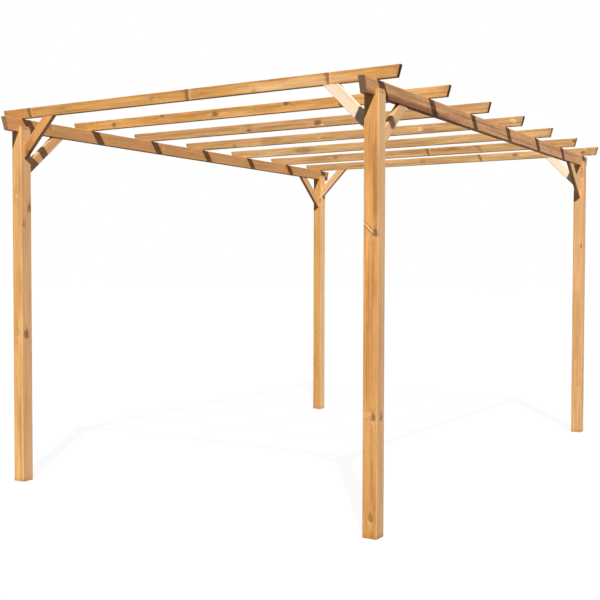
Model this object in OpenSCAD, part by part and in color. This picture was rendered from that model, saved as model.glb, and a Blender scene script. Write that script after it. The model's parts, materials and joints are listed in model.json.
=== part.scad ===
// Free-standing garden pergola: four forked posts carry two beams, seven rafters
// lie across the beams, and a short knee brace fills every corner both ways.
// X runs along the rafters, Y along the beams, Z up. The origin is the middle of
// the plan at floor level.

/* [Posts] */
// Side of the square posts
post_side = 90; // [70:1:150]
// Distance between post centres, along the rafters
post_span_x = 2780; // [1800:10:4200]
// Distance between post centres, along the beams
post_span_y = 4170; // [2400:10:6000]
// Height of the two tongues that stand beside the beam
tongue_h = 40; // [20:1:80]

/* [Beams] */
// Clear height from the floor to the underside of the beams
headroom = 2460; // [1900:10:3000]
// Width of a beam, which is also the width of the fork in the posts
beam_w = 42; // [28:1:60]
// Depth of a beam
beam_h = 92; // [80:1:220]
// Reach of a beam past the outer face of the posts
beam_overhang = 120; // [40:1:500]
// How much shorter a beam is along its underside, at each end
beam_end_cut = 30; // [0:1:40]

/* [Rafters] */
// Width of a rafter
rafter_w = 32; // [22:1:60]
// Depth of a rafter
rafter_h = 70; // [45:1:180]
// Reach of a rafter past the outer face of the posts
rafter_overhang = 115; // [40:1:500]
// How much shorter a rafter is along its underside, at each end
rafter_end_cut = 20; // [0:1:40]

/* [Braces] */
// Thickness of a brace
brace_w = 32; // [22:1:60]
// Depth of a brace, square to its length
brace_h = 70; // [45:1:120]
// Length of a cross brace's long edge along the rafter
cross_brace_run = 280; // [230:1:700]
// Drop of a cross brace's long edge down the post
cross_brace_drop = 280; // [230:1:700]
// Length of a side brace's long edge along the beam
side_brace_run = 350; // [230:1:900]
// Drop of a side brace's long edge down the post
side_brace_drop = 300; // [230:1:700]

/* [Hidden] */

left = -1;
right = 1;
front = -1;
back = 1;
rafter_count = 7;

post_x = post_span_x / 2;
post_y = post_span_y / 2;
half_post = post_side / 2;
post_top = headroom + tongue_h;
beam_len = post_span_y + post_side + 2 * beam_overhang;
beam_top = headroom + beam_h;
rafter_len = post_span_x + post_side + 2 * rafter_overhang;
rafter_pitch = post_span_y / (rafter_count - 1);
// Room by which the fork's cutter passes through each open side of the post
through = 5;

// A plank seen from the side: full length on top, both ends cut back below
module plank_outline(length, depth, end_cut) {
    polygon([[-length / 2, depth], [length / 2, depth],
        [length / 2 - end_cut, 0], [end_cut - length / 2, 0]]);
}

// A brace seen from the side, in the corner under the origin: it leans from the
// vertical face x = 0 up to the level face y = 0
module brace_outline(run, drop) {
    slope = atan(drop / run);
    polygon([[0, -drop], [run, 0], [run - brace_h / sin(slope), 0],
        [0, brace_h / cos(slope) - drop]]);
}

// A post at its corner of the plan, forked at the top for the beam
module post(side, end) {
    color("#b07f50")
        translate([side * post_x, end * post_y, 0])
            difference() {
                translate([-half_post, -half_post, 0])
                    cube([post_side, post_side, post_top]);
                translate([-beam_w / 2, -half_post - through, headroom])
                    cube([beam_w, post_side + 2 * through, tongue_h + through]);
            }
}

// A beam along one side, lying in the forks of two posts
module beam(side) {
    color("#a8764a")
        translate([side * post_x - beam_w / 2, 0, headroom])
            rotate([90, 0, 90])
                linear_extrude(beam_w)
                    plank_outline(beam_len, beam_h, beam_end_cut);
}

// A rafter across both beams; the first stands over the front posts
module rafter(number) {
    color("#c08f5f")
        translate([0, (number - 1) * rafter_pitch - post_y + rafter_w / 2, beam_top])
            rotate([90, 0, 0])
                linear_extrude(rafter_w)
                    plank_outline(rafter_len, rafter_h, rafter_end_cut);
}

// A brace from a post's inner face to the underside of the rafter over it
module cross_brace(side, end) {
    color("#b8875a")
        translate([side * (post_x - half_post), end * post_y, beam_top])
            mirror([side == right ? 1 : 0, 0, 0])
                translate([0, brace_w / 2, 0])
                    rotate([90, 0, 0])
                        linear_extrude(brace_w)
                            brace_outline(cross_brace_run, cross_brace_drop);
}

// A brace from a post's inner face to the underside of the beam over it
module side_brace(side, end) {
    color("#b8875a")
        translate([side * post_x, end * (post_y - half_post), headroom])
            mirror([0, end == back ? 1 : 0, 0])
                translate([-brace_w / 2, 0, 0])
                    rotate([90, 0, 90])
                        linear_extrude(brace_w)
                            brace_outline(side_brace_run, side_brace_drop);
}

post(left, front);  // post_front_left
post(right, front);  // post_front_right
post(left, back);  // post_back_left
post(right, back);  // post_back_right
beam(left);  // beam_left
beam(right);  // beam_right
rafter(1);  // rafter_1
rafter(2);  // rafter_2
rafter(3);  // rafter_3
rafter(4);  // rafter_4
rafter(5);  // rafter_5
rafter(6);  // rafter_6
rafter(7);  // rafter_7
cross_brace(left, front);  // cross_brace_front_left
cross_brace(right, front);  // cross_brace_front_right
cross_brace(left, back);  // cross_brace_back_left
cross_brace(right, back);  // cross_brace_back_right
side_brace(left, front);  // side_brace_front_left
side_brace(right, front);  // side_brace_front_right
side_brace(left, back);  // side_brace_back_left
side_brace(right, back);  // side_brace_back_right
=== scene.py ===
"""Looks of a free-standing garden pergola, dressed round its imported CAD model.

Each timber of the frame becomes a planed piece of stained pine with eased arrises,
countersunk screw holes, its own growth rings, knots and stain. The screws are made with
Geometry Nodes. The whole part rides on one body, because nothing in it moves.
"""

from __future__ import annotations

import json
import logging
import math
import random
from dataclasses import dataclass, field
from enum import Enum
from functools import partialmethod
from typing import Any

import bmesh
import bpy
from mathutils import Euler, Matrix, Vector

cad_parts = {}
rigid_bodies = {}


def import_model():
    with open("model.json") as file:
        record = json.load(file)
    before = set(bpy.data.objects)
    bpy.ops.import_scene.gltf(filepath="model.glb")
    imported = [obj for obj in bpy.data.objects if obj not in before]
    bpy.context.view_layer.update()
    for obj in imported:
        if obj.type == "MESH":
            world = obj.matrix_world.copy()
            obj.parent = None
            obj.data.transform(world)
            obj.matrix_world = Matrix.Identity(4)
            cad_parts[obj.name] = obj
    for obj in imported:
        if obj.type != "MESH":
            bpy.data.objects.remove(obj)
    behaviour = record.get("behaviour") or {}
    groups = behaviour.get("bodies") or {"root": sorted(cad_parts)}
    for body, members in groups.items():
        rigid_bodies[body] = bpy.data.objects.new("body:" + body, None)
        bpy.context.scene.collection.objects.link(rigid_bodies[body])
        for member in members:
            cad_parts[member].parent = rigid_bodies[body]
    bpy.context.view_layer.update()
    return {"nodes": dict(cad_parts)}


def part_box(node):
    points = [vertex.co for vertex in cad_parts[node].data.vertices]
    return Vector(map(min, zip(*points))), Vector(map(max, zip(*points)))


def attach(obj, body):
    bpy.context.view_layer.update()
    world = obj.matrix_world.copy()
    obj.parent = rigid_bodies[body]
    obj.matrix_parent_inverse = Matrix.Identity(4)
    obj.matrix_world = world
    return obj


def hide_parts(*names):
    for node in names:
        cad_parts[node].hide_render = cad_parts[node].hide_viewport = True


for stray in list(bpy.data.objects):
    bpy.data.objects.remove(stray)
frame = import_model()

LOG = logging.getLogger("pergola")
BODY = "root"
CORNERS = ("front_left", "front_right", "back_left", "back_right")
X_AXIS, Y_AXIS, Z_AXIS = Vector((1, 0, 0)), Vector((0, 1, 0)), Vector((0, 0, 1))
ORIGIN = (0.0, 0.0, 0.0)
WHITE = (1.0, 1.0, 1.0, 1.0)
FLOAT, VECTOR, COLOUR = "NodeSocketFloat", "NodeSocketVector", "NodeSocketColor"

Pair = tuple[float, float]
Triple = tuple[float, float, float]
NodeTree = bpy.types.NodeTree
Object = bpy.types.Object
Socket = bpy.types.NodeSocket
Signals = dict[str, "Signal"]


class Slot(Enum):
    """The record's material slots."""

    POST = "post_timber"
    BEAM = "beam_timber"
    RAFTER = "rafter_timber"
    BRACE = "brace_timber"
    SCREW = "screw_steel"


class Tone(Enum):
    """Stain colours on pine, as linear light. Some stand in for light: the lit-side
    tones paint the paler sheen of faces turned to ±X, and one paints a highlight.
    """

    AMBER = (0.65, 0.32, 0.105)
    HONEY = (0.67, 0.335, 0.105)
    STRAW = (0.70, 0.385, 0.135)
    GINGER = (0.57, 0.29, 0.088)
    CARAMEL = (0.50, 0.278, 0.112)
    DRIFTWOOD = (0.53, 0.315, 0.13)
    CHESTNUT = (0.41, 0.225, 0.09)
    TAN = (0.61, 0.34, 0.14)
    # The next three, and PALE, also serve as lit-side tones: painted light on faces
    # turned to ±X.
    FAWN = (0.76, 0.46, 0.225)
    LIT_BLUSH = (0.66, 0.37, 0.17)
    LIT_ROSY = (0.63, 0.34, 0.165)
    RUSSET = (0.56, 0.28, 0.11)
    # Painted highlight: the sheen along the fibres of the right-hand cross braces.
    SHEEN_CREAM = (0.82, 0.64, 0.46)
    UMBER = (0.085, 0.05, 0.033)
    WALNUT = (0.26, 0.147, 0.082)
    HEART = (0.44, 0.34, 0.32)
    KNOT = (0.21, 0.085, 0.032)
    BARK = (0.12, 0.05, 0.02)
    PALE = (0.78, 0.50, 0.24)

    @property
    def rgba(self) -> tuple[float, float, float, float]:
        """The tone with full cover, as a colour socket takes it."""
        return (*self.value, 1.0)


# Node trees


def configured(item: Any, **settings: Any) -> Any:
    """A Blender item, with these properties set."""
    for name, value in settings.items():
        setattr(item, name, value)
    return item


class Signal:
    """A socket's value, whose operators add Math nodes to its tree."""

    def __init__(self, wiring: Wiring, socket: Socket) -> None:
        """Keeps the socket and the wiring of its tree."""
        self.wiring, self.socket = wiring, socket

    @property
    def is_vector(self) -> bool:
        """Whether the socket carries a vector or a colour."""
        return self.socket.type in {"VECTOR", "RGBA"}

    def combined(self, operation: str, other: Any) -> Signal:
        """The result of an operation on this value and another."""
        return self.wiring.math(operation, self, other)

    def __rsub__(self, other: float) -> Signal:
        """A number less this value."""
        return self.wiring.math("SUBTRACT", other, self)

    __add__ = partialmethod(combined, "ADD")
    __sub__ = partialmethod(combined, "SUBTRACT")
    __mul__ = partialmethod(combined, "MULTIPLY")
    __truediv__ = partialmethod(combined, "DIVIDE")
    __pow__ = partialmethod(combined, "POWER")


class Wiring:
    """Places nodes in one tree and joins their sockets."""

    def __init__(self, tree: NodeTree) -> None:
        """Keeps the tree to work in."""
        self.tree = tree

    def feed(self, node: bpy.types.Node, inputs: dict[Any, Any]) -> None:
        """Links a node's inputs, by name or number, or sets their values."""
        for key, value in inputs.items():
            value = getattr(value, "socket", value)
            if isinstance(value, Socket):
                self.tree.links.new(value, node.inputs[key])
            else:
                node.inputs[key].default_value = getattr(value, "rgba", value)

    def node(
        self, kind: str, inputs: dict[Any, Any] | None = None, **settings: Any
    ) -> bpy.types.Node:
        """Adds a node.

        Args:
            kind: the node's type name.
            inputs: a socket's name or number, and a value or a socket to link.
            settings: properties of the node itself, set before its inputs.

        Returns:
            The new node.
        """
        made = configured(self.tree.nodes.new(kind), **settings)
        self.feed(made, inputs or {})
        return made

    def out(
        self, kind: str, output: int | str, inputs: dict[Any, Any] | None = None,
        **settings: Any,
    ) -> Signal:
        """Adds a node and returns one of its outputs."""
        return Signal(self, self.node(kind, inputs, **settings).outputs[output])

    def socket(self, name: str, side: str, kind: str) -> Any:
        """Adds an input or an output to the tree itself."""
        return self.tree.interface.new_socket(name, in_out=side, socket_type=kind)

    def given(self) -> Signals:
        """The tree's own inputs, by name."""
        source = self.node("NodeGroupInput")
        return {socket.name: Signal(self, socket) for socket in source.outputs}

    def math(self, operation: str, *values: Any) -> Signal:
        """Adds a Math node, or a Vector Math node if a vector comes first.

        Args:
            operation: the node's operation.
            values: one to three numbers, tuples or signals.

        Returns:
            The result. A vector times a number is the scaled vector.
        """
        inputs: dict[Any, Any] = dict(enumerate(values))
        if not getattr(values[0], "is_vector", False):
            return self.out("ShaderNodeMath", 0, inputs, operation=operation)
        second = values[-1]
        by_number = not getattr(second, "is_vector", isinstance(second, tuple))
        if operation == "MULTIPLY" and by_number:
            operation, inputs = "SCALE", {0: values[0], "Scale": second}
        output = "Value" if operation in {"LENGTH", "DOT_PRODUCT"} else "Vector"
        return self.out("ShaderNodeVectorMath", output, inputs, operation=operation)

    def split(self, vector: Any) -> tuple[Signal, ...]:
        """The three parts of a vector."""
        made = self.node("ShaderNodeSeparateXYZ", {0: vector})
        return tuple(Signal(self, part) for part in made.outputs)

    def joined(self, x: Any, y: Any, z: Any) -> Signal:
        """A vector from its three parts."""
        return self.out("ShaderNodeCombineXYZ", 0, {0: x, 1: y, 2: z})

    def step(self, value: Any, low: Any, high: Any) -> Signal:
        """A smooth step that rises from 0 at low to 1 at high."""
        ends = {"Value": value, "From Min": low, "From Max": high}
        return self.out(
            "ShaderNodeMapRange", "Result", ends, interpolation_type="SMOOTHSTEP"
        )

    def fade(self, value: Any, low: Any, high: Any) -> Signal:
        """A smooth step that falls from 1 at low to 0 at high."""
        return 1.0 - self.step(value, low, high)

    def noise(self, vector: Signal, detail: float, channel: str = "Fac") -> Signal:
        """Noise with features of about one unit of the vector."""
        inputs = {"Vector": vector, "Scale": 1.0, "Detail": detail}
        return self.out("ShaderNodeTexNoise", channel, inputs)

    def blend(self, factor: Any, first: Any, second: Any, mode: str = "MIX") -> Signal:
        """Two colours blended by a factor."""
        return self.out(
            "ShaderNodeMix", 2, {0: factor, 6: first, 7: second},
            data_type="RGBA", blend_type=mode,
        )

    def multiplied(self, first: Any, second: Any) -> Signal:
        """One colour times another."""
        return self.blend(1.0, first, second, "MULTIPLY")

    def finish(self, kind: str, lighting: Signal, seen: Signal) -> None:
        """Ends a tree with two shaders.

        Args:
            kind: the output node's kind, Material or World.
            lighting: the shader that lights the scene.
            seen: the shader that the camera sees.
        """
        looked_at = self.out("ShaderNodeLightPath", "Is Camera Ray")
        mix = {0: looked_at, 1: lighting, 2: seen}
        mixed = self.out("ShaderNodeMixShader", 0, mix)
        self.node(f"ShaderNodeOutput{kind}", {"Surface": mixed})


class ShaderGroup:
    """A node group with named sockets, built once and placed in many materials.

    takes holds its inputs and their first values, and gives its outputs.
    """

    name = ""
    takes: dict[str, Any] = {}
    gives: tuple[str, ...] = ()
    _built: dict[str, NodeTree] = {}

    def tree(self) -> NodeTree:
        """The group's tree, which is built when it is first asked for."""
        if self.name not in self._built:
            tree = bpy.data.node_groups.new(self.name, "ShaderNodeTree")
            wiring = Wiring(tree)
            for name, value in self.takes.items():
                value = getattr(value, "rgba", value)
                length = len(value) if isinstance(value, tuple) else 1
                kind = {1: FLOAT, 3: VECTOR, 4: COLOUR}[length]
                wiring.socket(name, "INPUT", kind).default_value = value
            for name in self.gives:
                wiring.socket(name, "OUTPUT", COLOUR if name == "Color" else FLOAT)
            result = self.wire(wiring, wiring.given())
            wiring.node("NodeGroupOutput", result)
            self._built[self.name] = tree
        return self._built[self.name]

    def wire(self, w: Wiring, given: Signals) -> Signals:
        """Fills the tree.

        Args:
            w: wiring for the group's tree.
            given: the group's inputs by name.

        Returns:
            The signals that feed the group's outputs, by name.
        """
        raise NotImplementedError

    def place(self, w: Wiring, inputs: dict[str, Any]) -> Signals:
        """Places the group in another tree and returns its outputs by name."""
        node = w.node("ShaderNodeGroup", node_tree=self.tree())
        w.feed(node, inputs)
        return {name: Signal(w, node.outputs[name]) for name in self.gives}


class KnotGroup(ShaderGroup):
    """One branch that runs through the timber from a point in a direction."""

    name = "knot"
    takes = {
        "Vector": ORIGIN, "Centre": ORIGIN, "Direction": (0.0, 0.0, 1.0),
        "Radius": 0.008, "Flare": 0.0, "Reach": 0.2, "Dark": 1.0,
    }
    gives = ("Core", "Rim", "Pale", "Heart", "Lift")
    start_ease = (-0.006, 0.004)
    end_ease = 0.012
    oval = (0.7, 1.0, 1.0)
    spread = (0.42, 1.0, 1.0)

    def wire(self, w: Wiring, given: Signals) -> Signals:
        """Measures the distance from the branch and makes its masks of it.

        The fibres that bend round a branch are pale on one side of it and dark on
        the other.
        """
        direction, dark = given["Direction"], given["Dark"]
        apart = given["Vector"] - given["Centre"]
        depth = w.math("DOT_PRODUCT", apart, direction)
        beside = apart - direction * depth
        ragged = w.noise(given["Vector"] * (90, 150, 150), 2.0) * 1.9 + 0.05
        radius = given["Radius"] + w.math("MAXIMUM", depth, 0.0) * given["Flare"]
        inside = w.step(depth, *self.start_ease) * w.fade(
            depth, given["Reach"], given["Reach"] + self.end_ease
        )
        near = w.math("LENGTH", beside * self.oval) * ragged / radius
        core = w.fade(near, 0.5, 1.05) * inside
        ring = w.step(near, 0.55, 0.9) * w.fade(near, 0.95, 1.35) * inside
        wide = beside * self.spread
        bulge = (w.math("LENGTH", wide) / radius) ** 2.0
        bulge = w.math("EXPONENT", bulge * -0.3) * inside
        toward, _, _ = w.split(direction)
        shift = w.math("SIGN", toward) * (radius * 0.8)
        sides = []
        for way in (1.0, -1.0):
            away = w.math("LENGTH", wide + w.joined(shift * way, 0.0, 0.0)) / radius
            away = w.math("EXPONENT", away * away * ragged * -1.1)
            sides.append(away * inside)
        halo = sides[0] * w.step(near, 0.7, 1.2) * 0.75
        return {
            "Core": core * dark,
            "Rim": ring * (dark * 0.55 + 0.3),
            "Pale": w.math("MAXIMUM", halo, core * (1.0 - dark)),
            "Heart": sides[1] * (dark * 0.7 + 0.1),
            "Lift": bulge * radius * 1.1,
        }


class GrainGroup(ShaderGroup):
    """Growth rings about a wandering pith, and the fibres between them."""

    name = "pine_grain"
    takes = {
        "Vector": ORIGIN, "Pith": ORIGIN, "Lift": 0.0, "Spacing": 0.004,
        "Wander": 0.02, "Seed": 0.0,
    }
    gives = ("Ring", "Band", "Fibre", "Streak")
    bands_per_metre = 95.0
    waver = 0.006

    def wire(self, w: Wiring, given: Signals) -> Signals:
        """Rings from the distance to the pith, streaks from stretched noise."""
        vector, seed = given["Vector"], given["Seed"]
        offset = w.joined(seed * 3.17, seed * 7.31, seed)
        x, _, _ = w.split(vector)
        drift = w.noise(w.joined(x * 1.1, 0.0, 0.0) + offset, 1.0, "Color")
        drift = (drift - (0.5, 0.5, 0.5)) * given["Wander"]
        place = (vector - given["Pith"] + drift) * (0.0, 1.0, 1.0)
        waver = (w.noise(vector * (5, 26, 26) + offset, 2.0) - 0.5) * self.waver
        reach = w.math("LENGTH", place) + waver + given["Lift"]
        turns = reach / given["Spacing"]
        part = w.math("FRACT", turns)
        year = w.math("FLOOR", turns) + seed
        bold = w.out(
            "ShaderNodeTexWhiteNoise", "Value", {"W": year}, noise_dimensions="1D"
        )
        late = w.step(part, 0.2, 0.8) * w.fade(part, 0.86, 1.0) * (bold * 0.7 + 0.3)
        bands = {"W": reach * self.bands_per_metre + seed, "Scale": 1.0, "Detail": 1.0}
        bent = vector + drift * 0.35
        return {
            "Ring": late,
            "Band": w.out("ShaderNodeTexNoise", "Fac", bands, noise_dimensions="1D"),
            "Fibre": w.noise(vector * (7, 330, 330) + offset, 2.0),
            "Streak": w.noise(bent * (2.6, 54, 54) + offset, 3.0),
        }


class ArrisGroup(ShaderGroup):
    """How near a point of the surface is to a long edge of its timber."""

    name = "arris_wear"
    takes = {"Vector": ORIGIN, "Half": (1.0, 0.05, 0.05), "Width": 0.006}
    gives = ("Wear", "Tip")

    def wire(self, w: Wiring, given: Signals) -> Signals:
        """Distances to the long edges and to the ends, broken up by noise."""
        x, y, z = w.split(given["Half"] - w.math("ABSOLUTE", given["Vector"]))
        broken = w.noise(given["Vector"] * (14, 90, 90), 2.0)
        width = given["Width"] * w.step(broken, 0.25, 0.75)
        return {
            "Wear": w.fade(w.math("MAXIMUM", y, z), 0.0, width + 0.002),
            "Tip": w.fade(x, 0.0, broken * 0.07 + 0.004),
        }


class StainGroup(ShaderGroup):
    """Patches where the wood drank more or less of the stain."""

    name = "stain_uptake"
    takes = {"Vector": ORIGIN, "Seed": 0.0}
    gives = ("Patch", "Mottle")

    def wire(self, w: Wiring, given: Signals) -> Signals:
        """One broad and one fine noise, both longer along the grain."""
        offset = w.joined(given["Seed"], given["Seed"] * 5.3, 2.0)
        return {
            "Patch": w.noise(given["Vector"] * (2.3, 11, 11) + offset, 2.0),
            "Mottle": w.noise(given["Vector"] * (22, 85, 85) + offset, 2.0),
        }


class HeartGroup(ShaderGroup):
    """A darker lick of heartwood that comes to the surface for a stretch."""

    name = "heart_streak"
    takes = {
        "Vector": ORIGIN, "Centre": ORIGIN, "Size": (0.3, 0.02, 0.02), "Depth": 1.0
    }
    gives = ("Heart",)

    def wire(self, w: Wiring, given: Signals) -> Signals:
        """A long soft spindle with ragged sides."""
        near = w.math("LENGTH", (given["Vector"] - given["Centre"]) / given["Size"])
        ragged = w.noise(given["Vector"] * (9, 130, 130), 2.0) * 1.2 + 0.4
        return {"Heart": w.fade(near * ragged, 0.5, 1.05) * given["Depth"]}


class TimberSkinGroup(ShaderGroup):
    """The whole surface of a stained timber, from its masks and its tones, with painted
    light: faces turned to ±X take a paler lit-side tone.
    """

    name = "timber_skin"
    takes = {
        **GrainGroup.takes, "Half": ArrisGroup.takes["Half"], "Contrast": 1.0,
        "Facing": (0.0, 0.0, 1.0), "Axis": (1.0, 0.0, 0.0),
        **dict.fromkeys(("Core", "Rim", "Pale", "Heart", "Sap"), 0.0),
        **dict.fromkeys(("Front Tone", "Lit Side Tone", "End Tone"), Tone.TAN),
    }
    gives = ("Color", "Roughness", "Height")
    # Where a face counts as turned to ±X, for the painted lit-side tone.
    lit_side_turn = (0.35, 0.9)
    end_turn = (0.45, 0.66)
    tint_powers = (0.75, 1.0, 1.5)
    least_gain = 0.2

    def wire(self, w: Wiring, given: Signals) -> Signals:
        """Lays grain, knots, worn arrises and end grain over the stain, and paints a
        paler lit tone on the faces turned to ±X.
        """
        grain, stain, edges = (
            group.place(w, {name: given[name] for name in group.takes if name in given})
            for group in (GrainGroup(), StainGroup(), ArrisGroup())
        )
        core, rim = given["Core"], given["Rim"]
        facing_x, _, _ = w.split(w.math("ABSOLUTE", given["Facing"]))
        # Painted light: faces turned to ±X get the paler lit-side tone and weaker grain
        # contrast, painting the sheen of light on them.
        lit_side = w.step(facing_x, *self.lit_side_turn)
        base = w.blend(lit_side, given["Front Tone"], given["Lit Side Tone"])
        contrast = given["Contrast"] * (lit_side * -0.35 + 1.0)

        gain: Any = 1.0
        for source, weight in (
            (grain["Streak"], 0.80), (grain["Band"], 0.22), (grain["Fibre"], 0.30),
            (stain["Patch"], 0.50), (stain["Mottle"], 0.20),
        ):
            gain = (source - 0.5) * weight * contrast + gain
        gain = gain + 0.06 + grain["Ring"] * (contrast * -0.16)
        gain = w.math("MAXIMUM", gain, self.least_gain)
        tint = w.joined(*(gain ** power for power in self.tint_powers))
        colour = w.multiplied(base, tint)

        colour = w.blend(given["Heart"], colour, w.multiplied(colour, Tone.HEART))
        colour = w.blend(given["Sap"], colour, w.multiplied(Tone.PALE, tint))
        for mask, cover, tone in (
            (given["Pale"], 0.8, Tone.PALE), (core, 0.8, Tone.KNOT),
            (rim, 0.7, Tone.BARK), (edges["Wear"], 0.14, Tone.PALE),
        ):
            colour = w.blend(mask * cover, colour, tone)
        tip = w.multiplied(colour, Tone.RUSSET)
        colour = w.blend(edges["Tip"] * 0.35, colour, tip)
        turned = w.math("DOT_PRODUCT", given["Facing"], given["Axis"])
        end = w.step(w.math("ABSOLUTE", turned), *self.end_turn)
        rings = grain["Ring"] * -0.5 + 1.15
        end_grain = w.multiplied(given["End Tone"], w.joined(rings, rings, rings))
        return {
            "Color": w.blend(end, colour, end_grain),
            "Roughness": grain["Fibre"] * 0.22 + 0.47 + end * 0.2 + core * -0.15,
            "Height": grain["Ring"] * 0.5 + grain["Fibre"] + core * 0.9 + rim * -0.9,
        }


# Timber


def add_object(name: str, data: Any) -> Object:
    """Adds an object with this data to the scene."""
    made = bpy.data.objects.new(name, data)
    bpy.context.scene.collection.objects.link(made)
    return made


def add_mesh(name: str, work: bmesh.types.BMesh) -> Object:
    """Adds an object with the mesh that was worked on, which is freed."""
    mesh = bpy.data.meshes.new(name)
    work.to_mesh(mesh)
    work.free()
    return add_object(name, mesh)


def settle(piece: Object) -> None:
    """Turns a piece with modifiers into a plain mesh."""
    depsgraph = bpy.context.evaluated_depsgraph_get()
    mesh = bpy.data.meshes.new_from_object(piece.evaluated_get(depsgraph))
    piece.modifiers.clear()
    piece.data = mesh


def add_material(name: str) -> tuple[bpy.types.Material, Wiring, bpy.types.Node]:
    """A new material, the wiring of its tree, and its Principled shader."""
    material = bpy.data.materials.new(name)
    material.use_nodes = True
    tree = material.node_tree
    return material, Wiring(tree), tree.nodes["Principled BSDF"]


@dataclass(frozen=True)
class GrainFrame:
    """Where a timber lies and which way its grain runs."""

    centre: Vector
    along: Vector
    across: Vector
    half: Triple

    def turn(self) -> Euler:
        """The rotation that takes X, Y and Z to the timber's own axes."""
        rows = Matrix((self.along, self.across, self.along.cross(self.across)))
        return rows.transposed().to_euler()


@dataclass(frozen=True)
class Knot:
    """A branch in a timber, in metres and degrees.

    at is its place along the grain, from the middle of the timber. offset is its start
    in the cross-section, and angle its direction there, from the across axis. lean
    tips it along the grain.
    """

    at: float
    angle: float
    radius: float = 0.008
    offset: Pair | None = None
    lean: float = 12.0
    flare: float = 0.03
    reach: float = 0.3
    dark: float = 0.8

    def sockets(self, pith: Pair) -> dict[str, Any]:
        """The values of the knot group's inputs.

        Args:
            pith: where the timber's pith is in its cross-section.

        Returns:
            Values by socket name.
        """
        turn, tip = math.radians(self.angle), math.radians(self.lean)
        level = math.cos(tip)
        return {
            "Centre": (self.at, *(pith if self.offset is None else self.offset)),
            "Direction": (
                math.sin(tip), level * math.cos(turn), level * math.sin(turn)
            ),
            "Radius": self.radius, "Flare": self.flare,
            "Reach": self.reach, "Dark": self.dark,
        }


@dataclass(frozen=True)
class HeartStreak:
    """A stretch of heartwood, in the timber's own directions.

    A positive depth darkens the wood, and a negative one pales it like sapwood.
    """

    centre: Triple
    size: Triple
    depth: float = 1.0


def face_streaks(face: float, *rows: tuple[float, ...]) -> tuple[HeartStreak, ...]:
    """Streaks on one face: place along it, height, three sizes and depth of each."""
    return tuple(
        HeartStreak((at, face, height), tuple(size), depth)
        for at, height, *size, depth in rows
    )


@dataclass(frozen=True)
class WoodFinish:
    """Stained pine: its tones, one of them a painted lit-side tone, how its log grew
    and its knots.
    """

    front: Tone
    # Lit-side tone of the faces turned to ±X: painted light, a paler copy of the stain.
    side: Tone
    seed: int
    end: Tone = Tone.UMBER
    pith: Pair = (0.0, 0.0)
    ring_spacing: float = 0.0042
    wander: float = 0.03
    contrast: float = 1.0
    relief: float = 0.0009
    bump: float = 0.5
    sheen: float = 0.35
    knots: tuple[Knot, ...] = ()
    hearts: tuple[HeartStreak, ...] = ()

    def masks(self, w: Wiring, local: Signal) -> Signals:
        """Lays the knots and the streaks over each other.

        Args:
            w: wiring of the material's tree.
            local: the place in the timber's own axes.

        Returns:
            The skin group's masks by name.
        """
        found = []
        for knot in self.knots:
            sockets = knot.sockets(self.pith)
            found += KnotGroup().place(w, {"Vector": local, **sockets}).items()
        for heart in self.hearts:
            sockets = {
                "Centre": heart.centre, "Size": heart.size, "Depth": abs(heart.depth)
            }
            streak = HeartGroup().place(w, {"Vector": local, **sockets})["Heart"]
            found.append(("Heart" if heart.depth > 0 else "Sap", streak))
        masks: Signals = {}
        for name, shown in found:
            merge = "ADD" if name == "Lift" else "MAXIMUM"
            masks[name] = (
                w.math(merge, masks[name], shown) if name in masks else shown
            )
        return masks

    def material(self, name: str, grain: GrainFrame) -> bpy.types.Material:
        """Makes the material of one timber.

        Args:
            name: the material's name.
            grain: the timber's place and axes, for the pattern to follow.

        Returns:
            The material.
        """
        material, w, shader = add_material(name)
        place = w.node("ShaderNodeTexCoord").outputs
        axes = {
            "Vector": place["Object"], "Location": grain.centre,
            "Rotation": grain.turn(),
        }
        local = w.out("ShaderNodeMapping", "Vector", axes, vector_type="TEXTURE")
        skin = TimberSkinGroup().place(w, {
            "Vector": local, "Facing": place["Normal"], "Axis": grain.along,
            "Half": grain.half, "Pith": (0.0, *self.pith),
            "Spacing": self.ring_spacing, "Wander": self.wander,
            "Seed": float(self.seed), "Contrast": self.contrast,
            "Front Tone": self.front, "Lit Side Tone": self.side, "End Tone": self.end,
            **self.masks(w, local),
        })
        bump = {
            "Height": skin["Height"], "Strength": self.bump, "Distance": self.relief
        }
        w.feed(shader, {
            "Base Color": skin["Color"], "Roughness": skin["Roughness"],
            "Normal": w.out("ShaderNodeBump", "Normal", bump),
            "Specular IOR Level": self.sheen,
        })
        return material


def grown_knots(
    seed: int, length: float, count: int, spread: float, size: float = 0.008
) -> tuple[Knot, ...]:
    """Knots spread along a timber, no two alike.

    Args:
        seed: the fixed seed of this timber.
        length: the timber's length.
        count: how many knots.
        spread: how far from the middle line a knot may start.
        size: about how large the knots are, as a radius.

    Returns:
        The knots.
    """
    draw = random.Random(seed)
    pitch = length / count
    return tuple(
        Knot(
            at=-length / 2 + pitch * (n + draw.uniform(0.2, 0.8)),
            angle=draw.uniform(0, 360),
            radius=size * draw.uniform(0.55, 1.2),
            offset=(draw.uniform(-spread, spread), draw.uniform(-spread, spread)),
            lean=draw.uniform(-30, 30),
            dark=draw.uniform(0.2, 0.8),
        )
        for n in range(count)
    )


@dataclass(frozen=True)
class ScrewPlace:
    """A countersunk screw: a point on the face of a timber, and the way it faces."""

    point: Vector
    facing: Vector


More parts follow.
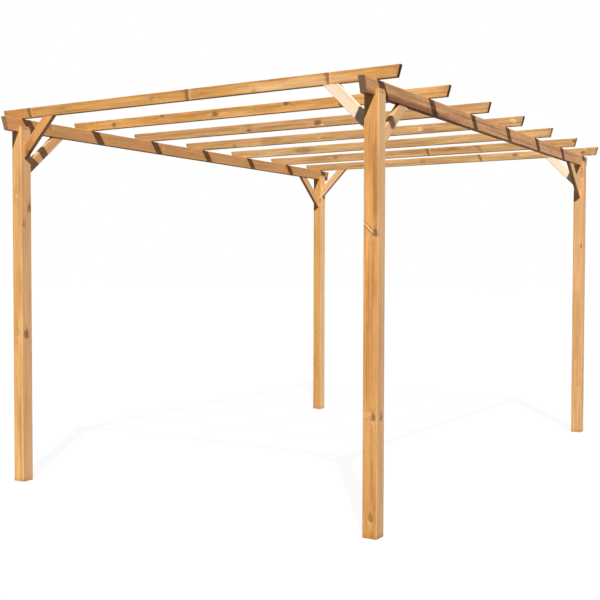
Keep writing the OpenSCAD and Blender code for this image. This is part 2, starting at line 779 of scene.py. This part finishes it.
@dataclass
class TimberSet:
    """Timbers of one kind. Each stands for the CAD node of its own name.

    An edge is an arris if the cosine of its angle to the grain is over lengthwise.
    """

    kind = ""
    places: tuple[str, ...] = CORNERS
    slot = Slot.BRACE
    along, across = Z_AXIS, X_AXIS
    arris: float = 0.003
    end_edge: float = 0.0008
    bevel_steps: int = 3
    lengthwise: float = 0.98
    weld: float = 1e-5
    flat_angle: float = 1.0
    sharp_angle: float = 38.0
    face_weight: int = 100
    sink_mouth: float = 0.0062
    sink_throat: float = 0.0028
    sink_depth: float = 0.0062
    sink_proud: float = 0.001
    sink_sides: int = 20

    @property
    def nodes(self) -> list[str]:
        """The CAD nodes of the set."""
        return [f"{self.kind}_{place}" for place in self.places]

    def grain_frame(self, node: str) -> GrainFrame:
        """The place and the grain direction of one timber."""
        middle, half = middle_of(node)
        axes = (self.along, self.across, self.along.cross(self.across))
        half_sizes = tuple(abs(half.dot(axis)) for axis in axes)
        return GrainFrame(middle, self.along, self.across, half_sizes)

    def finish(self, node: str) -> WoodFinish:
        """The finish of one timber."""
        raise NotImplementedError

    def screws(self, node: str) -> list[ScrewPlace]:
        """The screws that are driven into one timber, if it has any of its own."""
        return []

    def cutter(self, name: str, places: list[ScrewPlace]) -> Object:
        """One closed cone for each screw, to cut the conical hole for its head.

        Args:
            name: the cutter's name.
            places: where the screws go.

        Returns:
            The cutter object, which is removed after the cut.
        """
        work = bmesh.new()
        slope = (self.sink_mouth - self.sink_throat) / self.sink_depth
        for place in places:
            turn = Z_AXIS.rotation_difference(place.facing).to_matrix().to_4x4()
            shift = place.facing * (self.sink_proud - self.sink_depth) / 2
            bmesh.ops.create_cone(
                work, cap_ends=True, segments=self.sink_sides,
                radius1=self.sink_throat,
                radius2=self.sink_mouth + slope * self.sink_proud,
                depth=self.sink_depth + self.sink_proud,
                matrix=Matrix.Translation(place.point + shift) @ turn,
            )
        return add_mesh(name, work)

    def planed(self, node: str, grain: GrainFrame) -> Object:
        """A whole, merged copy of a CAD node, with its edges marked for easing.

        Args:
            node: the CAD node.
            grain: the timber's axes, which tell an arris from an end edge.

        Returns:
            The new object.
        """
        work = bmesh.new()
        work.from_mesh(frame["nodes"][node].data)
        bmesh.ops.remove_doubles(work, verts=work.verts, dist=self.weld)
        flat = math.radians(self.flat_angle)
        bmesh.ops.dissolve_limit(
            work, angle_limit=flat, verts=work.verts, edges=work.edges
        )
        bmesh.ops.recalc_face_normals(work, faces=work.faces)
        weights = work.edges.layers.float.new("bevel_weight_edge")
        for edge in work.edges:
            run = (edge.verts[1].co - edge.verts[0].co).normalized()
            lengthwise = abs(run.dot(grain.along)) > self.lengthwise
            edge[weights] = 1.0 if lengthwise else self.end_edge / self.arris
        return add_mesh(f"timber_{node}", work)

    def shaped(self, node: str, grain: GrainFrame) -> Object:
        """A timber with eased edges and its screw holes, as one plain mesh.

        Args:
            node: the CAD node it is made from.
            grain: the timber's axes.

        Returns:
            The finished shape.
        """
        piece = self.planed(node, grain)
        configured(
            piece.modifiers.new("ease", "BEVEL"), limit_method="WEIGHT",
            width=self.arris, segments=self.bevel_steps,
        )
        cutter = None
        if places := self.screws(node):
            cutter = self.cutter(f"cutter_{node}", places)
            cut = piece.modifiers.new("sink", "BOOLEAN")
            configured(cut, operation="DIFFERENCE", solver="EXACT", object=cutter)
        settle(piece)
        if cutter is not None:
            bpy.data.objects.remove(cutter)
        for face in piece.data.polygons:
            face.use_smooth = True
        piece.data.set_sharp_from_angle(angle=math.radians(self.sharp_angle))
        even = piece.modifiers.new("even", "WEIGHTED_NORMAL")
        configured(even, keep_sharp=True, weight=self.face_weight)
        settle(piece)
        return piece

    def build(self) -> dict[str, Object]:
        """Shapes and dresses every timber of the set.

        Returns:
            The finished pieces by node.
        """
        pieces = {}
        for node in self.nodes:
            grain = self.grain_frame(node)
            piece = self.shaped(node, grain)
            piece.data.materials.clear()
            piece.data.materials.append(self.finish(node).material(node, grain))
            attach(piece, BODY)
            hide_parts(node)
            LOG.info("%s: %d faces", piece.name, len(piece.data.polygons))
            pieces[node] = piece
        return pieces


def corner_sides(node: str) -> tuple[int, int]:
    """-1 for left or +1 for right, and -1 for front or +1 for back."""
    return (1 if node.endswith("right") else -1), (1 if "_back" in node else -1)


def middle_of(node: str) -> tuple[Vector, Vector]:
    """The middle of a CAD node's box, and half its size."""
    low, high = (Vector(corner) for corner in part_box(node))
    return (low + high) / 2, (high - low) / 2


POST_FRONT = -0.045
NEAR_CORNER = (-0.044, POST_FRONT)


def post_streak(
    at: float, across: float, length: float, width: float, depth: float
) -> HeartStreak:
    """A streak on a post's front face."""
    return HeartStreak((at, across, POST_FRONT), (length, width, 0.02), depth)


# The second tone of each post is its lit-side tone: painted light on the faces turned
# to ±X.
POST_FINISHES = {
    "post_front_right": WoodFinish(
        Tone.HONEY, Tone.FAWN, 3, pith=(0.018, -0.012), wander=0.02,
        contrast=1.15,
        knots=(
            Knot(0.515, 0, 0.0065, NEAR_CORNER, -45, 0.05, 0.09, 0.0),
            Knot(0.524, 0, 0.0018, NEAR_CORNER, -43, 0.0, 0.09, 1.0),
            Knot(0.502, 0, 0.0018, NEAR_CORNER, -43, 0.0, 0.09, 1.0),
            Knot(0.447, -90, 0.013, (0.029, -0.03), 25, dark=1.0),
            Knot(-0.572, -90, 0.013, (0.021, -0.03), dark=0.9),
            Knot(-0.566, 0, 0.005, NEAR_CORNER, -6, 0.03, 0.06, 0.2),
            Knot(-0.575, 31, 0.010, lean=5),
            Knot(-1.143, -111, 0.012, dark=0.7),
            Knot(-0.24, 130, 0.01),
        ),
        hearts=(
            post_streak(0.76, 0.030, 0.34, 0.022, 0.42),
            post_streak(0.95, -0.010, 0.2, 0.012, 0.25),
            post_streak(0.12, 0.0, 0.36, 0.030, 0.28),
            HeartStreak((-0.7, 0.0, 0.0), (1.0, 0.5, 0.5), 0.22),
            post_streak(-0.3, -0.016, 0.4, 0.014, 0.35),
            post_streak(-0.85, 0.012, 0.4, 0.016, 0.35),
        ),
    ),
    "post_front_left": WoodFinish(
        Tone.STRAW, Tone.LIT_BLUSH, 8, pith=(-0.01, 0.014), wander=0.025,
        knots=(
            Knot(0.718, -81, 0.016, lean=34, dark=0.1),
            Knot(0.656, 19, 0.015, lean=18, dark=0.9),
            Knot(0.885, -75, 0.009, lean=18, dark=0.1),
            Knot(0.546, -34, 0.009, lean=10, dark=0.5),
            Knot(-0.229, -83, 0.016, lean=30, dark=0.3),
            Knot(-0.235, -20, 0.016, lean=20, dark=0.9),
            Knot(-0.85, 150, 0.009),
        ),
        hearts=(
            post_streak(0.55, 0.0, 0.8, 0.08, 0.2),
            post_streak(0.3, 0.008, 0.5, 0.009, 0.4),
            post_streak(-0.8, 0.02, 0.5, 0.012, 0.2),
        ),
    ),
    "post_back_left": WoodFinish(
        Tone.GINGER, Tone.PALE, 13, pith=(0.02, 0.016),
        knots=grown_knots(13, 2.4, 4, 0.01),
    ),
    "post_back_right": WoodFinish(
        Tone.TAN, Tone.FAWN, 17, pith=(-0.016, -0.02),
        knots=(
            Knot(1.122, -90, 0.015, (0.032, -0.03), 10, dark=0.3),
            Knot(0.465, -90, 0.007, (0.03, -0.03), 10, dark=0.9),
            *grown_knots(19, 2.4, 4, 0.01),
        ),
    ),
}


@dataclass
class Posts(TimberSet):
    """The four square posts, forked at the top."""

    kind, slot = "post", Slot.POST
    arris: float = 0.0035
    tongue_screw_drop: float = 0.02

    def screws(self, node: str) -> list[ScrewPlace]:
        """One screw through each tongue of the fork, into the beam."""
        middle, half = middle_of(node)
        middle.z += half.z - self.tongue_screw_drop
        ways = (-X_AXIS, X_AXIS)
        return [ScrewPlace(middle + way * half.x, way) for way in ways]

    def finish(self, node: str) -> WoodFinish:
        """Heart-centred posts; the right front one shows its knots most."""
        return POST_FINISHES[node]


@dataclass
class Beams(TimberSet):
    """The two beams that lie in the forks. Other timbers' screws end in them."""

    kind, slot = "beam", Slot.BEAM
    places: tuple[str, ...] = ("left", "right")
    along, across = Y_AXIS, -X_AXIS

    def finish(self, node: str) -> WoodFinish:
        """Redder stain than on the rafters."""
        if node == "beam_left":
            return WoodFinish(
                Tone.RUSSET, Tone.RUSSET, 29, Tone.CHESTNUT, (0.04, 0.04),
                wander=0.05, contrast=1.3, knots=grown_knots(29, 4.3, 7, 0.012),
            )
        outer_face = -0.021
        hearts = face_streaks(
            outer_face,
            (-1.62, -0.046, 0.85, 0.06, 0.042, 1.0),
            (-1.5, 0.014, 0.5, 0.03, 0.010, 0.35),
            (-1.9, 0.03, 0.4, 0.03, 0.010, 0.3),
            (-0.6, 0.012, 0.7, 0.02, 0.010, 0.45),
            (0.2, -0.016, 0.9, 0.02, 0.010, 0.4),
            (1.4, 0.016, 0.8, 0.02, 0.012, 0.4),
        )
        # The second tone is the lit-side tone: painted light on the beam's faces turned
        # to ±X.
        return WoodFinish(
            Tone.RUSSET, Tone.LIT_ROSY, 23, Tone.WALNUT, (0.05, -0.03), wander=0.05,
            contrast=1.5, knots=grown_knots(23, 4.3, 6, 0.012), hearts=hearts,
        )


def spike(
    at: float, radius: float = 0.006, lean: float = -14.0, dark: float = 0.9
) -> Knot:
    """A rafter's knot cut along its length, which crosses the whole front face."""
    return Knot(at, 90, radius, (-0.016, -0.045), lean, dark=dark)


def eye(at: float, height: float, radius: float = 0.012, dark: float = 0.7) -> Knot:
    """A rafter's round knot, which shows on both faces."""
    return Knot(at, 184, radius, (0.02, height), 38.0, 0.02, dark=dark)


# Tone, seed, pith, end tone, knots and front streaks of each rafter's board
BOARDS = {
    "rafter_1": (Tone.GINGER, 31, (0.03, 0.06), Tone.UMBER, (
        spike(-1.27, 0.007, -22.0), eye(-0.23, 0.006, 0.011, 0.5),
        spike(0.1, 0.005, -8.0), eye(0.565, -0.018, 0.009, 0.4),
        spike(1.105, 0.005, -10.0),
    ), (
        (-1.2, 0.012, 0.3, 0.03, 0.009, 0.3),
        (0.9, -0.01, 0.5, 0.1, 0.04, -0.5),
        (1.5, 0.0, 0.12, 0.1, 0.2, 0.12),
    )),
    "rafter_2": (Tone.GINGER, 37, (-0.05, 0.03), Tone.UMBER, (
        eye(-1.171, -0.002, dark=0.9), eye(-0.71, 0.027, 0.01),
        eye(-0.235, 0.003, 0.015, 0.9), eye(-0.265, 0.0, 0.011, 0.0),
        eye(0.349, 0.026, 0.011, 1.0), eye(0.774, -0.016, 0.014, 0.9),
    ), (
        (1.3, 0.0, 0.3, 0.1, 0.1, -0.5),
        (-0.5, 0.01, 0.5, 0.03, 0.012, 0.3),
    )),
    "rafter_3": (Tone.CARAMEL, 41, (0.04, -0.06), Tone.UMBER, (
        eye(-0.441, 0.003, 0.020, 0.35), eye(-0.425, -0.012, 0.009, 1.0),
        eye(0.19, 0.0, 0.018, 1.0), eye(0.225, -0.018, 0.014, 0.0),
    ), (
        (-0.1, -0.004, 0.3, 0.03, 0.012, 0.5),
        (-0.9, 0.006, 0.5, 0.03, 0.016, 0.25),
    )),
    "rafter_4": (Tone.CARAMEL, 43, (0.02, 0.07), Tone.UMBER, (
        eye(-0.203, -0.002, 0.015, 0.15), eye(1.441, 0.009, 0.021, 0.0),
        eye(0.70, 0.0, 0.021, 0.0), eye(-1.05, -0.02, 0.009),
    ), (
        (0.79, 0.0, 0.09, 0.1, 0.03, 0.5),
        (-0.642, 0.0, 0.14, 0.03, 0.03, 0.4),
        (0.5, 0.01, 0.5, 0.03, 0.015, -0.3),
    )),
    "rafter_5": (Tone.DRIFTWOOD, 47, (-0.03, -0.04), Tone.WALNUT, (
        eye(-0.759, 0.004, dark=0.5), eye(1.2, -0.016, 0.009, 0.3),
    ), (
        (-0.75, 0.0, 0.12, 0.03, 0.03, 0.5),
        (0.2, -0.012, 0.6, 0.03, 0.012, 0.3),
    )),
    "rafter_6": (Tone.CARAMEL, 53, (0.06, 0.02), Tone.WALNUT, (
        eye(-0.83, 0.01), spike(0.2, lean=-20.0),
        spike(0.72, 0.007, -38.0, 0.6), eye(1.5, 0.014, 0.009, 1.0),
    ), ((0.3, 0.01, 0.5, 0.03, 0.012, 0.3),)),
    "rafter_7": (Tone.DRIFTWOOD, 59, (0.03, -0.05), Tone.CHESTNUT, (
        eye(-0.211, 0.0, 0.014, 0.6), spike(0.45, lean=-28.0),
        eye(0.745, 0.012, 0.014, 0.8), eye(1.392, -0.006, dark=1.0),
        spike(1.45, 0.007, 10.0, 0.35),
    ), (
        (0.9, 0.01, 0.5, 0.03, 0.014, -0.4),
        (-0.3, -0.01, 0.5, 0.03, 0.012, 0.3),
    )),
}


@dataclass
class Rafters(TimberSet):
    """The seven rafters, laid across both beams."""

    kind, slot = "rafter", Slot.RAFTER
    places: tuple[str, ...] = tuple("1234567")
    along, across = X_AXIS, Y_AXIS
    front_face: float = -0.016

    def screws(self, node: str) -> list[ScrewPlace]:
        """One screw down through the rafter over each beam."""
        middle, half = middle_of(node)
        beams = (middle_of(beam)[0] for beam in ("beam_left", "beam_right"))
        return [
            ScrewPlace(Vector((beam.x, middle.y, middle.z + half.z)), Z_AXIS)
            for beam in beams
        ]

    def finish(self, node: str) -> WoodFinish:
        """Each rafter is from another board, so its knots and tone differ."""
        tone, seed, pith, end, knots, streaks = BOARDS[node]
        hearts = face_streaks(self.front_face, *streaks)
        if node == "rafter_1":
            hearts += face_streaks(0.0, (-1.3, 0.0, 0.7, 0.2, 0.2, 0.2))
        # Tone.TAN is the painted lit-side tone; on rafters those faces are the ends,
        # where end grain covers it.
        return WoodFinish(
            tone, Tone.TAN, seed, end, pith, wander=0.06, contrast=1.5,
            knots=knots, hearts=hearts,
        )


@dataclass
class Braces(TimberSet):
    """Knee braces of one direction. Both their ends are cut to fit the corner."""

    first_seed = 61
    level = X_AXIS
    depth: float = 0.07
    screw_setback: float = 0.045

    def seed(self, node: str) -> int:
        """A seed of its own for each corner."""
        side, end = corner_sides(node)
        return self.first_seed + side + 3 * end

    def long_edge(self, node: str) -> tuple[Vector, Vector, Vector]:
        """The brace's lower face, along its middle line.

        Args:
            node: the brace.

        Returns:
            Its lower end, its upper end and the way the face looks.
        """
        middle, half = middle_of(node)
        away = Vector((*corner_sides(node), 0))
        out = self.level * -away.dot(self.level)
        reach = out * abs(half.dot(out)) + Z_AXIS * half.z
        run = reach.normalized()
        down = out * run.z - Z_AXIS * run.dot(out)
        return middle - reach, middle + reach, down.normalized()

    def grain_frame(self, node: str) -> GrainFrame:
        """Grain up the slope of the brace."""
        low, high, down = self.long_edge(node)
        along = (high - low).normalized()
        across = down.cross(along).normalized()
        thick = abs(middle_of(node)[1].dot(self.level.cross(Z_AXIS)))
        half = ((high - low).length / 2, thick, self.depth / 2)
        return GrainFrame((low + high) / 2 - down * self.depth / 2, along, across, half)

    def screws(self, node: str) -> list[ScrewPlace]:
        """One screw near each end, square to the lower face."""
        low, high, down = self.long_edge(node)
        setback = (high - low).normalized() * self.screw_setback
        return [ScrewPlace(low + setback, down), ScrewPlace(high - setback, down)]


@dataclass
class CrossBraces(Braces):
    """Braces from the posts to the first and the last rafter."""

    kind = "cross_brace"

    def finish(self, node: str) -> WoodFinish:
        """The right-hand ones are pale with faint grain: a painted highlight of the
        sheen along their fibres. Each brace's second tone is its painted lit-side tone.
        """
        common = {"seed": self.seed(node), "pith": (0.03, 0.04)}
        if node.endswith("right"):
            # Painted highlight: the pale cream tone and low contrast stand in for the
            # sheen on these braces.
            return WoodFinish(Tone.SHEEN_CREAM, Tone.SHEEN_CREAM, contrast=0.5, **common)
        if node == "cross_brace_back_left":
            whole = HeartStreak(ORIGIN, (1.0, 1.0, 1.0), 0.25)
            return WoodFinish(Tone.FAWN, Tone.TAN, hearts=(whole,), **common)
        return WoodFinish(
            Tone.AMBER, Tone.TAN, **common,
            knots=(Knot(-0.15, 180, 0.013, (0.02, 0.024), 30.0, dark=1.0),),
            hearts=(HeartStreak((-0.16, 0.016, 0.01), (0.14, 0.1, 0.05), 0.45),),
        )


@dataclass
class SideBraces(Braces):
    """Braces from the posts to the beams."""

    kind, first_seed, level = "side_brace", 71, Y_AXIS

    def finish(self, node: str) -> WoodFinish:
        """Tan on the sides, a paler tone that paints the light on them; redder above
        and below.
        """
        right = corner_sides(node)[0] > 0
        # The second tone of each pair is the lit-side tone: painted light on faces
        # turned to ±X.
        tones = (Tone.TAN, Tone.FAWN) if right else (Tone.AMBER, Tone.LIT_BLUSH)
        knots = grown_knots(self.seed(node), 0.3, 1, 0.006, 0.006)
        return WoodFinish(*tones, self.seed(node), pith=(0.04, -0.03), knots=knots)


# Screws


@dataclass(frozen=True)
class SteelFinish:
    """Plated steel with a yellow-brown film that is duller in places."""

    tone: Triple = (0.66, 0.46, 0.24)
    roughness: float = 0.4
    roughness_spread: float = 0.25
    dulled: float = 0.6
    speck_scale: float = 900.0
    film_scale: float = 120.0

    def material(self, name: str) -> bpy.types.Material:
        """Makes the screws' material.

        Args:
            name: the material's name.

        Returns:
            The material.
        """
        material, w, shader = add_material(name)
        place = w.out("ShaderNodeTexCoord", "Object")
        specks = w.noise(place * self.speck_scale, 3.0)
        film = w.step(w.noise(place * self.film_scale, 1.0), 0.35, 0.7)
        dull = tuple(self.dulled * part for part in self.tone)
        w.feed(shader, {
            "Base Color": w.blend(film, (*self.tone, 1.0), (*dull, 1.0)),
            "Roughness": specks * self.roughness_spread + (self.roughness - 0.1),
            "Metallic": 1.0,
        })
        return material


@dataclass
class Screws:
    """Countersunk screws with star recesses, set just below the wood's face."""

    places: list[ScrewPlace]
    head_radius: float = 0.0054
    neck_radius: float = 0.0024
    head_depth: float = 0.0046
    recess_depth: float = 0.0022
    recess_share: float = 0.5
    lobe_swell: float = 0.16
    sunk: float = 0.0004
    lobes: int = 6
    facets: int = 24
    seed: int = 5
    steel: SteelFinish = field(default_factory=SteelFinish)

    def sizes(self) -> dict[str, float | int]:
        """The inputs of the Geometry Nodes tree, by name."""
        names = ("head_radius", "neck_radius", "head_depth", "recess_depth",
                 "recess_share", "lobe_swell", "lobes", "facets", "seed")
        return {name.replace("_", " ").title(): getattr(self, name) for name in names}

    def tree(self, material: bpy.types.Material) -> NodeTree:
        """The Geometry Nodes tree that puts one screw on each point.

        Args:
            material: the steel.

        Returns:
            The tree. Its inputs carry the screws' sizes.
        """
        tree = bpy.data.node_groups.new("countersunk_screws", "GeometryNodeTree")
        w = Wiring(tree)
        for side in ("INPUT", "OUTPUT"):
            w.socket("Geometry", side, "NodeSocketGeometry")
        for name, value in self.sizes().items():
            kind = "NodeSocketInt" if isinstance(value, int) else FLOAT
            w.socket(name, "INPUT", kind)
        given = w.given()

        def add(kind: str, inputs: dict[str, Any], **settings: Any) -> Any:
            """Adds a Geometry node and returns its outputs."""
            return w.node(f"GeometryNode{kind}", inputs, **settings).outputs

        head = add("MeshCone", {
            "Vertices": given["Facets"], "Radius Top": given["Head Radius"],
            "Radius Bottom": given["Neck Radius"], "Depth": given["Head Depth"],
        })
        flat = {"Mesh": head["Mesh"], "Selection": head["Top"], "Offset Scale": 0.0}
        rim = add("ExtrudeMesh", flat, mode="FACES")
        top = {"Selection": rim["Top"]}
        share = given["Recess Share"]
        inner = add("ScaleElements", {"Geometry": rim["Mesh"], "Scale": share, **top})
        x, y, z = w.split(add("InputPosition", {})["Position"])
        wave = w.math("COSINE", w.math("ARCTAN2", y, x) * given["Lobes"])
        star = wave * given["Lobe Swell"] + 1.0
        starred = add("SetPosition", {
            "Geometry": inner["Geometry"], "Position": w.joined(x * star, y * star, z),
            **top,
        })
        drop = w.joined(0.0, 0.0, given["Recess Depth"] * -1.0)
        sunk = {"Mesh": starred["Geometry"], "Offset": drop, **top}
        recess = add("ExtrudeMesh", sunk, mode="FACES")
        name = {"Name": "facing"}
        facing = add("InputNamedAttribute", name, data_type="FLOAT_VECTOR")[0]
        aim = w.out(
            "FunctionNodeAlignRotationToVector", 0, {"Vector": facing}, axis="Z"
        )
        screws = add("InstanceOnPoints", {
            "Points": given["Geometry"], "Instance": recess["Mesh"], "Rotation": aim,
        })
        spin = w.out(
            "FunctionNodeRandomValue", 1, {"Seed": given["Seed"]}, data_type="FLOAT"
        )
        turned = add("RotateInstances", {
            "Instances": screws["Instances"], "Local Space": True,
            "Rotation": w.joined(0.0, 0.0, spin * math.tau),
        })
        solid = add("RealizeInstances", {0: turned["Instances"]})[0]
        dressed = add("SetMaterial", {"Geometry": solid, "Material": material})[0]
        w.node("NodeGroupOutput", {0: dressed})
        return tree

    def build(self) -> Object:
        """Makes all the screws as one plain mesh.

        Returns:
            The finished piece.
        """
        material = self.steel.material("zinc_plated_steel")
        points = bpy.data.meshes.new("screw_points")
        sink = self.sunk + self.head_depth
        points.from_pydata([p.point - p.facing * sink for p in self.places], [], [])
        facing = points.attributes.new("facing", "FLOAT_VECTOR", "POINT")
        for item, place in zip(facing.data, self.places):
            item.vector = place.facing
        piece = add_object("countersunk_screws", points)
        nodes = piece.modifiers.new("screws", "NODES")
        nodes.node_group = self.tree(material)
        for item in nodes.node_group.interface.items_tree:
            if item.name in self.sizes():
                nodes[item.identifier] = self.sizes()[item.name]
        settle(piece)
        if not piece.data.materials:
            piece.data.materials.append(material)
        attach(piece, BODY)
        LOG.info("%s: %d screws", piece.name, len(self.places))
        return piece


# Studio


@dataclass(frozen=True)
class Sunlight:
    """A far lamp. width is how wide it looks in degrees, which softens its shadows."""

    travel: Triple
    strength: float
    tone: Triple = (1.0, 0.965, 0.92)
    width: float = 70.0

    def shine(self, name: str) -> Object:
        """Adds the lamp to the scene.

        Args:
            name: the lamp's name.

        Returns:
            The lamp.
        """
        lamp = add_object(name, configured(
            bpy.data.lights.new(name, "SUN"), energy=self.strength,
            color=self.tone, angle=math.radians(self.width),
        ))
        turn = (-Z_AXIS).rotation_difference(Vector(self.travel))
        lamp.rotation_euler = turn.to_euler()
        return lamp


@dataclass
class Studio:
    """Camera, light and a plain pale floor."""

    camera_place: Triple = (3.8384, -6.9022, 1.5071)
    camera_yaw: float = 31.321
    camera_pitch: float = -1.859
    camera_roll: float = 0.129
    lens: float = 58.003
    sensor: float = 36.0
    view_depth: float = 500.0
    sky_tone: Triple = (0.80, 0.86, 1.0)
    sky_strength: float = 0.14
    sun: Sunlight = Sunlight((-0.5, 0.76, -1.0), 5.9, width=1.2)
    side_fill: Sunlight = Sunlight((-1.0, 0.12, -0.12), 0.32, sky_tone)
    back_fill: Sunlight = Sunlight((0.62, -0.72, -0.3), 2.2)
    floor_glow: float = 0.94
    floor_shade: Triple = (0.05, 0.05, 0.05)
    floor_bounce: Triple = (0.12, 0.118, 0.115)
    floor_size: float = 120.0

    def camera(self) -> None:
        """Sets the camera up at a standing viewer's place."""
        camera = add_object("viewer", configured(
            bpy.data.cameras.new("viewer"), lens=self.lens,
            sensor_width=self.sensor, clip_end=self.view_depth,
        ))
        camera.matrix_world = Matrix.Translation(self.camera_place)
        for angle, axis in (
            (self.camera_yaw, "Z"), (90.0 + self.camera_pitch, "X"),
            (self.camera_roll, "Z"),
        ):
            camera.matrix_world @= Matrix.Rotation(math.radians(angle), 4, axis)
        bpy.context.scene.camera = camera

    def spare(self, post: Object, passed: list[Object]) -> None:
        """Gives one post a sun of its own, which shines through some pieces.

        Args:
            post: the post to spare their shadows.
            passed: the pieces that cast no shadow on it.
        """

        def linked(name: str, state: str, members: list[Object]) -> Any:
            """A collection whose members share one state of light linking."""
            made = bpy.data.collections.new(name)
            for member in members:
                made.objects.link(member)
            for item in made.collection_objects:
                item.light_linking.link_state = state
            return made

        main = self.sun.shine("sun").light_linking
        main.receiver_collection = linked("sun_lights", "EXCLUDE", [post])
        second = self.sun.shine("sun_on_post").light_linking
        second.receiver_collection = linked("sun_on_post_lights", "INCLUDE", [post])
        second.blocker_collection = linked("sun_on_post_passes", "EXCLUDE", passed)

    def sky(self) -> None:
        """A soft fill for the timber, and a white backdrop for the eye."""
        world = bpy.data.worlds.new("studio")
        world.use_nodes = True
        world.node_tree.nodes.clear()
        w = Wiring(world.node_tree)
        tone = (*self.sky_tone, 1.0)
        fill, backdrop = (
            w.out("ShaderNodeBackground", 0, {"Color": colour, "Strength": strength})
            for colour, strength in ((tone, self.sky_strength), (WHITE, 1.0))
        )
        w.finish("World", fill, backdrop)
        bpy.context.scene.world = world

    def floor(self) -> None:
        """A wide pale floor that glows a little, so that it stays near white."""
        work = bmesh.new()
        half = self.floor_size / 2
        bmesh.ops.create_grid(work, x_segments=1, y_segments=1, size=half)
        floor = add_mesh("floor", work)
        material, w, shader = add_material("pale_floor")
        w.tree.nodes.clear()
        matte, dim = (
            w.out("ShaderNodeBsdfDiffuse", 0, {"Color": (*tone, 1.0)})
            for tone in (self.floor_shade, self.floor_bounce)
        )
        glow = w.out("ShaderNodeEmission", 0, {"Strength": self.floor_glow})
        seen = w.out("ShaderNodeAddShader", 0, {0: matte, 1: glow})
        w.finish("Material", dim, seen)
        floor.data.materials.append(material)

    def build(self, pieces: dict[str, Object]) -> None:
        """Builds the studio round the finished pieces."""
        bpy.context.scene.view_settings.view_transform = "Standard"
        self.camera()
        self.side_fill.shine("side_fill")
        self.back_fill.shine("back_fill")
        rafters = [piece for node, piece in pieces.items() if "rafter" in node]
        self.spare(pieces["post_back_left"], rafters)
        self.sky()
        self.floor()
        LOG.info("studio ready")


def main() -> None:
    """Builds the sub-assemblies and the studio in order."""
    logging.basicConfig(level=logging.INFO, format="%(name)s: %(message)s")
    places: list[ScrewPlace] = []
    pieces: dict[str, Object] = {}
    for timbers in (Posts(), Beams(), Rafters(), CrossBraces(), SideBraces()):
        pieces |= timbers.build()
        for node in timbers.nodes:
            places += timbers.screws(node)
    Screws(places).build()
    Studio().build(pieces)
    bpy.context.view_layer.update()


if __name__ == "__main__":
    main()
